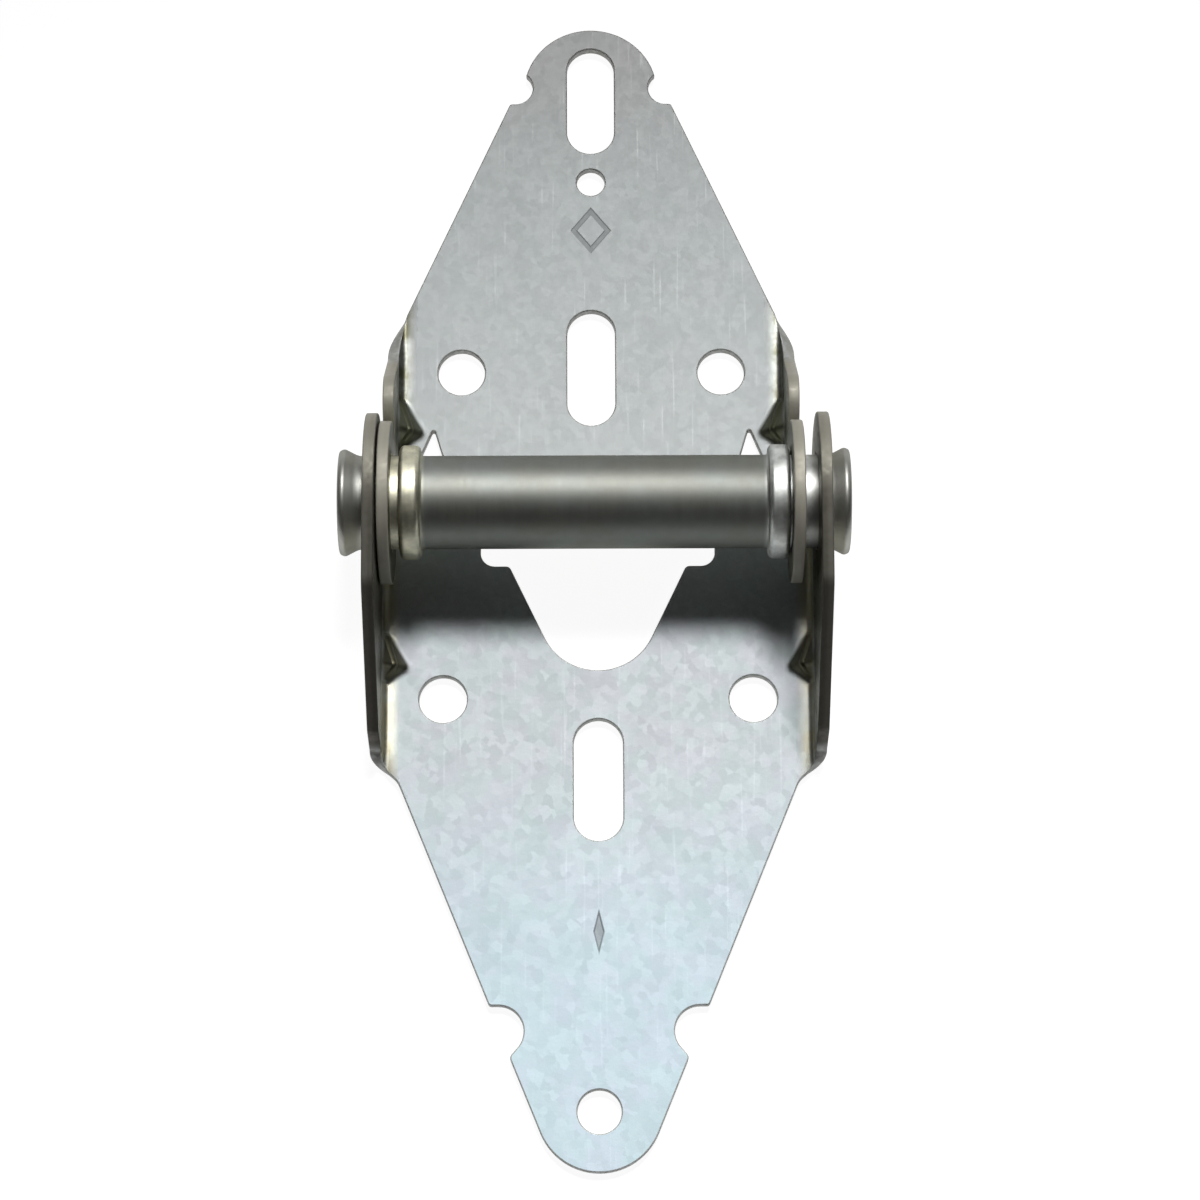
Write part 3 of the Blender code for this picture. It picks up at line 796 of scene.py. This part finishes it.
def stampMask(tree, place, stamp):
    # A lozenge punched into the front face: an outline, or filled where it has no stroke.
    x, y, halfWidth, halfHeight, stroke = stamp
    axes = splitPlace(tree, place)
    across = mathNode(tree, "ABSOLUTE", mathNode(tree, "SUBTRACT", axes[0], x))
    upward = mathNode(tree, "ABSOLUTE", mathNode(tree, "SUBTRACT", axes[1], y + pivot.y))
    size = mathNode(tree, "ADD", mathNode(tree, "DIVIDE", across, halfWidth),
                    mathNode(tree, "DIVIDE", upward, halfHeight))
    fades = sheetPlating["stampFill"]
    if stroke:
        size = mathNode(tree, "ABSOLUTE", mathNode(tree, "SUBTRACT", size, 1.0))
        fades = [stroke / halfWidth * share for share in sheetPlating["stampStroke"]]
    shape = mapValue(tree, size, *fades, 1, 0)
    front = mathNode(tree, "GREATER_THAN", axes[2], sheetSteel["thickness"] / 2)
    return mathNode(tree, "MULTIPLY", shape, front)


def sheetMarks(tree, place, zinc):
    # What changes over the sheet: its layers, its place on the hinge, and its textures.
    look = sheetPlating
    marks = {layer: addNode(tree, "ShaderNodeAttribute", attribute_name=layer).outputs["Fac"]
             for layer in ("bend", "dart", "front", "cutEdge")}
    marks["front"] = mapValue(tree, marks["front"], *look["frontFrom"])
    axes = splitPlace(tree, place)
    marks["upright"] = mapValue(tree, axes[2], *look["earFrom"])
    marks["fromPivot"] = mathNode(tree, "SUBTRACT", axes[1], pivot.y)
    for mark in ("patch", "rubbed"):
        noise = noiseValue(tree, place, look[mark + "Size"], detail=3.0)
        marks[mark] = mapValue(tree, noise, *look[mark + "Span"])
    marks["mottle"] = noiseValue(tree, place, look["mottleSize"], detail=4.0)
    warp = addNode(tree, "ShaderNodeTexNoise", {"Vector": place, "Scale": look["crystalWarp"]})
    warped = addNode(tree, "ShaderNodeVectorMath", {0: place, 1: warp.outputs["Color"]},
                     operation="ADD")
    spangle = addNode(tree, "ShaderNodeTexVoronoi",
                      {"Vector": warped.outputs[0], "Scale": 1 / zinc["spangleSize"]})
    marks["crystal"] = addNode(tree, "ShaderNodeSeparateColor",
                               {0: spangle.outputs["Color"]}).outputs
    marks["stamp"] = stampMask(tree, place, zinc["stamp"])
    return marks


def plateColour(tree, place, zinc, marks):
    # Crystals of different brightness, with a fine mottle and wide clouds over them.
    tintNoise = noiseValue(tree, place, sheetPlating["tintSize"], detail=2.0)
    tint = mixColour(tree, mapValue(tree, tintNoise, *noiseTexture["tintSpan"]),
                     zinc["coolTint"], zinc["warmTint"])
    # Painted light along the leaf: the lower leaf brighter towards its tip, the upper duller at
    # its head.
    paintedFar = mapValue(tree, marks["fromPivot"], *zinc["paintedFarFrom"])
    colour = mixColour(tree, paintedFar, zinc["colour"], zinc["paintedFarColour"])
    colour = mixColour(tree, zinc["tintAmount"], colour, tint)
    mottleHalf, cloudHalf = zinc["mottleContrast"] / 2, sheetPlating["cloudContrast"]
    bright = mathNode(tree, "ADD",
                      mapValue(tree, marks["crystal"][0], 0, 1, 1 - zinc["spangleContrast"], 1.0),
                      noiseBetween(tree, marks["mottle"], -mottleHalf, mottleHalf))
    cloud = noiseValue(tree, place, sheetPlating["cloudSize"], detail=2.0)
    bright = mathNode(tree, "ADD", bright, noiseBetween(tree, cloud, -cloudHalf, cloudHalf))
    return brighten(tree, colour, bright)


def formedColour(tree, colour, zinc, marks):
    # Yellow passivation along the lower leaf's bends and painted shade along the upper's, painted
    # shade inside the ears, and painted shade on the darts.
    look = sheetPlating
    goldAndShade = mathNode(tree, "MULTIPLY", marks["bend"],
                    mapValue(tree, marks["patch"], 0, 1, *look["goldAndShadePatches"]))
    goldAndShade = mathNode(tree, "MULTIPLY", goldAndShade, zinc["goldAndShadeAmount"])
    goldAndShadeColour = mixColour(tree, marks["front"], zinc["outerColour"], zinc["goldAndShadeTint"])
    colour = mixColour(tree, goldAndShade, colour, goldAndShadeColour)
    # Painted shade inside the ears.
    earShade = mathNode(tree, "MULTIPLY", marks["upright"],
                     mapValue(tree, marks["patch"], 0, 1, *look["earShadePatches"]))
    earShadeColour = mixColour(tree, marks["front"], zinc["outerColour"], zinc["earShadeColour"])
    colour = mixColour(tree, earShade, colour, earShadeColour)
    # Painted shade on the darts' faces.
    dartShade = mathNode(tree, "MULTIPLY",
                       mathNode(tree, "MULTIPLY", marks["dart"], marks["front"]),
                       look["dartShadeAmount"])
    return mixColour(tree, dartShade, colour, zinc["dartShadeColour"])


def cutColour(tree, colour, zinc, marks):
    # Cut edges are duller, with bright spots where the plating has rubbed.
    look = sheetPlating
    plateCut = mixColour(tree, mathNode(tree, "MULTIPLY", marks["rubbed"], look["rubbedBright"]),
                         zinc["cutColour"], zinc["colour"])
    # The ears' edges get painted shade below the tube and painted light round it.
    earCutLitAndShaded = mixColour(tree, mapValue(tree, marks["fromPivot"], *look["earCutLightFrom"]),
                       zinc["shadedEarCutColour"], zinc["litEarCutColour"])
    edge = mathNode(tree, "MULTIPLY", marks["cutEdge"], look["edgeAmount"])
    return mixColour(tree, edge, colour, mixColour(tree, marks["upright"], plateCut, earCutLitAndShaded))


def stampColour(tree, colour, zinc, marks):
    stamped = mathNode(tree, "MULTIPLY", marks["stamp"], sheetPlating["stampAmount"])
    shade = tuple(sheetPlating["stampShade"] * part for part in zinc["colour"])
    return mixColour(tree, stamped, colour, shade)


def setSheetGloss(tree, shader, place, zinc, marks):
    # Roughness changes from crystal to crystal; thin rubbed lines are smoother.
    look, spread = sheetPlating, zinc["roughnessSpread"]
    rough = mathNode(tree, "ADD", look["roughness"],
                     mapValue(tree, marks["crystal"][1], 0, 1, -spread, spread))
    rough = mathNode(tree, "ADD", rough, noiseBetween(tree, marks["mottle"], -spread, spread))
    lineSpace = addNode(tree, "ShaderNodeMapping",
                        {"Vector": place, "Rotation": (0, 0, look["lineTurn"]),
                         "Scale": look["lineScale"]})
    lines = mapValue(tree, noiseValue(tree, lineSpace.outputs[0], 1.0, detail=2.0),
                     *look["lineSpan"])
    rubbedEdge = mathNode(tree, "MULTIPLY", marks["cutEdge"], marks["rubbed"])
    for mark, polish in ((lines, look["linePolish"]), (rubbedEdge, look["rubbedPolish"])):
        rough = mathNode(tree, "SUBTRACT", rough, mathNode(tree, "MULTIPLY", mark, polish))

    # What was bent or pressed is smoother and more metallic, apart from its cut edges.
    formed = mathNode(tree, "MAXIMUM",
                      mathNode(tree, "MAXIMUM", marks["bend"], marks["upright"]), marks["dart"])
    formed = mathNode(tree, "MULTIPLY", formed, mathNode(tree, "SUBTRACT", 1.0, marks["cutEdge"]))
    rough = mathNode(tree, "ADD", rough, mathNode(
        tree, "MULTIPLY", formed, look["formedRoughness"] - look["roughness"]))
    tree.links.new(rough, shader.inputs["Roughness"])
    tree.links.new(mapValue(tree, formed, 0, 1, look["metallic"], 1.0),
                   shader.inputs["Metallic"])


def sheetRelief(tree, place, marks):
    # Grainy plating on a slightly uneven sheet, and the stamp pressed in.
    look = sheetPlating
    grain = noiseValue(tree, place, look["grainSize"], detail=2.0)
    wave = noiseValue(tree, place, look["waveSize"], detail=1.0)
    relief = mathNode(tree, "ADD", mathNode(tree, "MULTIPLY", grain, look["grainHeight"]),
                      mathNode(tree, "MULTIPLY", marks["mottle"], look["mottleHeight"]))
    relief = mathNode(tree, "ADD", relief, mathNode(tree, "MULTIPLY", wave, look["waveHeight"]))
    return mathNode(tree, "SUBTRACT", relief,
                    mathNode(tree, "MULTIPLY", marks["stamp"], look["stampDepth"]))


def zincSheet(name, zinc):
    material, tree, shader, place = newMaterial(name, sheetPlating["metallic"])
    marks = sheetMarks(tree, place, zinc)
    colour = plateColour(tree, place, zinc, marks)
    for layOver in (formedColour, cutColour, stampColour):
        colour = layOver(tree, colour, zinc, marks)
    tree.links.new(colour, shader.inputs["Base Color"])
    setSheetGloss(tree, shader, place, zinc, marks)
    setBump(tree, shader, sheetRelief(tree, place, marks), zinc["bumpHeight"])
    return material


# The plating of the tube. Places on it are counted either way from its middle.
tubeZinc = {
    "colour": (0.29, 0.295, 0.265),
    "bandTint": (0.30, 0.315, 0.295),
    # Bright bead plating with painted highlights: cream on the left as a painted reflection of the
    # ears, white on the right.
    "leftBeadTintAndReflection": (0.90, 0.87, 0.68),
    "rightBeadTintAndHighlight": (0.88, 0.90, 0.87),
    "beadFrom": (27.2, 28.8),
    "beadPatches": (0.6, 1.0),       # least and most of the beads' tint and painted highlight
    "endColour": (0.46, 0.46, 0.43),
    "endFrom": (34.0, 36.0),
    "metallic": 1.0,
    "roughness": 0.55,
    "beadRoughness": 0.48,
    "ringRoughness": (-0.02, 0.03),  # what the rings add
    "grazingTint": (0.4, 0.4, 0.38),
    "ringSize": 0.35,
    "ringStretch": 0.12,
    "mottleSize": 2.0,
    "cloudSize": 9.0,
    "brightSpan": (0.7, 1.3),        # of rings and mottle together
    "brightness": (0.95, 1.03),
    "mottleHeight": 1.5,
    "bumpHeight": 0.004,
}


def zincTube(name, zinc):
    material, tree, shader, place = newMaterial(name, zinc["metallic"])
    axes = splitPlace(tree, place)
    along = mathNode(tree, "ABSOLUTE", axes[0])

    # Faint rings from turning in the leaves, and a soft mottle.
    stretch = zinc["ringStretch"]
    ringSpace = addNode(tree, "ShaderNodeMapping",
                        {"Vector": place, "Scale": (1 / zinc["ringSize"], stretch, stretch)})
    rings = noiseValue(tree, ringSpace.outputs[0], 1.0, detail=3.0)
    mottle = noiseValue(tree, place, zinc["mottleSize"], detail=3.0)
    cloud = noiseValue(tree, place, zinc["cloudSize"], detail=2.0)
    colour = mixColour(tree, mapValue(tree, cloud, *noiseTexture["tintSpan"]), zinc["colour"],
                       zinc["bandTint"])
    bead = mapValue(tree, along, *zinc["beadFrom"])
    # Painted highlights on the beads, cream on the left and white on the right.
    beadTintAndHighlight = mixColour(tree, mathNode(tree, "GREATER_THAN", axes[0], 0.0),
                         zinc["leftBeadTintAndReflection"], zinc["rightBeadTintAndHighlight"])
    beadPatchy = mathNode(tree, "MULTIPLY", bead,
                          noiseBetween(tree, mottle, *zinc["beadPatches"]))
    colour = mixColour(tree, beadPatchy, colour, beadTintAndHighlight)
    colour = mixColour(tree, mapValue(tree, along, *zinc["endFrom"]), colour, zinc["endColour"])
    bright = mapValue(tree, mathNode(tree, "ADD", rings, mottle), *zinc["brightSpan"],
                      *zinc["brightness"])
    tree.links.new(brighten(tree, colour, bright), shader.inputs["Base Color"])
    shader.inputs["Specular Tint"].default_value = (*zinc["grazingTint"], 1.0)
    rough = mapValue(tree, bead, 0, 1, zinc["roughness"], zinc["beadRoughness"])
    rough = mathNode(tree, "ADD", rough, noiseBetween(tree, rings, *zinc["ringRoughness"]))
    tree.links.new(rough, shader.inputs["Roughness"])
    relief = mathNode(tree, "ADD", rings,
                      mathNode(tree, "MULTIPLY", mottle, zinc["mottleHeight"]))
    setBump(tree, shader, relief, zinc["bumpHeight"])
    return material


# The three pieces, each riding on its node and shown in its place.
punchTree = buildPunchTree()
lowerSheet = foldLeaf("lowerSheet", lowerLeaf, lowerOutline(lowerLeaf),
                      zincSheet("Lower leaf zinc", lowerZinc))
print("Lower leaf folded:", len(lowerSheet.data.polygons), "faces")
upperSheet = foldLeaf("upperSheet", upperLeaf, upperOutline(upperLeaf),
                      zincSheet("Upper leaf zinc", upperZinc))
print("Upper leaf folded:", len(upperSheet.data.polygons), "faces")
turnedTube = turnTube("turnedTube", rollerTube, zincTube("Tube zinc", tubeZinc))
print("Roller tube turned:", len(turnedTube.data.polygons), "faces")

for piece, node, slot in ((lowerSheet, "lower_leaf", "lower_zinc"),
                          (upperSheet, "upper_leaf", "upper_zinc"),
                          (turnedTube, "roller_tube", "tube_zinc")):
    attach(piece, node)
    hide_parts(node)


# Floor, light and world, in metres.
studio = {
    "floorSize": 3.0,
    "floorDrop": 0.00015,           # just under the back faces
    "floorGlow": 0.93,              # what the camera sees even in the shadow
    "floorColour": 0.25,
    "worldFront": 0.01,             # level behind the camera
    "worldBack": 0.14,              # level low beyond the head
    "brightFrom": (0.0, 0.9, 0.4),  # direction of the brightest part
    "brightSpan": (0.2, 1.0),       # how nearly a ray faces it where the light grows
    "keyAngle": 28.0,               # degrees off the plate's normal, towards the head
    "keyDistance": 1.2,
    "keySide": 0.1,
    "keyAim": -0.2,                 # place on the floor that it points at
    "keyRadius": 0.17,
    "keyCone": 28.0,
    "keyPower": 72.0,
}


def buildFloor():
    half = studio["floorSize"] / 2
    mesh = bpy.data.meshes.new("floor")
    corners = [(-half, -half), (half, -half), (half, half), (-half, half)]
    mesh.from_pydata([(x, y, -studio["floorDrop"]) for x, y in corners], [], [(0, 1, 2, 3)])
    material = bpy.data.materials.new("White floor")
    material.use_nodes = True
    tree = material.node_tree
    tree.nodes.remove(tree.nodes["Principled BSDF"])
    path = addNode(tree, "ShaderNodeLightPath").outputs
    seen = mathNode(tree, "MAXIMUM", path["Is Camera Ray"],
                    mathNode(tree, "MAXIMUM", path["Is Glossy Ray"],
                             path["Is Transmission Ray"]))
    glow = addNode(tree, "ShaderNodeEmission", {"Color": (1, 1, 1, 1),
                   "Strength": mathNode(tree, "MULTIPLY", seen, studio["floorGlow"])})
    level = studio["floorColour"]
    lit = addNode(tree, "ShaderNodeBsdfDiffuse", {"Color": (level, level, level, 1)})
    both = addNode(tree, "ShaderNodeAddShader", {0: glow.outputs[0], 1: lit.outputs[0]})
    tree.links.new(both.outputs[0], tree.nodes["Material Output"].inputs["Surface"])
    mesh.materials.append(material)
    addObject("floor", mesh)


def buildWorld():
    world = bpy.data.worlds.new("Studio")
    world.use_nodes = True
    tree = world.node_tree
    background = tree.nodes["Background"]
    direction = addNode(tree, "ShaderNodeTexCoord").outputs["Generated"]
    facing = addNode(tree, "ShaderNodeVectorMath",
                     {0: direction, 1: Vector(studio["brightFrom"]).normalized()},
                     operation="DOT_PRODUCT").outputs["Value"]
    level = mapValue(tree, facing, *studio["brightSpan"], studio["worldFront"],
                     studio["worldBack"])
    camera = addNode(tree, "ShaderNodeLightPath").outputs["Is Camera Ray"]
    strength = mathNode(tree, "MAXIMUM", level, camera)
    tree.links.new(strength, background.inputs["Strength"])
    background.inputs["Color"].default_value = (1, 1, 1, 1)
    bpy.context.scene.world = world


def buildLights():
    # One soft key light from beyond the head, aimed past the tip.
    light = bpy.data.lights.new("Key", "SPOT")
    light.energy = studio["keyPower"]
    light.shadow_soft_size = studio["keyRadius"]
    light.spot_size = radians(studio["keyCone"])
    light.spot_blend = 1.0
    key = addObject("Key", light)
    angle, distance = radians(studio["keyAngle"]), studio["keyDistance"]
    key.location = (studio["keySide"], distance * sin(angle), distance * cos(angle))
    key.rotation_mode = "QUATERNION"
    aim = Vector((0, studio["keyAim"], 0))
    key.rotation_quaternion = (Vector(key.location) - aim).to_track_quat("Z", "Y")


# The photograph's camera, in millimetres from the origin, and degrees.
photoCamera = {
    "target": (0.85, -3.43, 0.0),
    "distance": 600.0,
    "tilt": 15.0,   # off the plate's normal
    "roll": -0.2,
    "lens": 108.0,  # on Blender's own sensor width of 36
    "clip": (10.0, 20000.0),
}


def buildCamera():
    tilt = radians(photoCamera["tilt"])
    back = Vector((0, -sin(tilt), cos(tilt)))
    camera = addObject("Camera", bpy.data.cameras.new("Camera"))
    camera.data.lens = photoCamera["lens"]
    camera.data.clip_start, camera.data.clip_end = (edge * mm for edge in photoCamera["clip"])
    camera.location = (Vector(photoCamera["target"]) + back * photoCamera["distance"]) * mm
    turn = Matrix.Rotation(radians(photoCamera["roll"]), 4, "Z")
    camera.rotation_euler = (Matrix.Rotation(tilt, 4, "X") @ turn).to_euler()
    bpy.context.scene.camera = camera


buildFloor()
buildWorld()
buildLights()
buildCamera()
bpy.context.scene.view_settings.view_transform = "Standard"
print("Studio set")
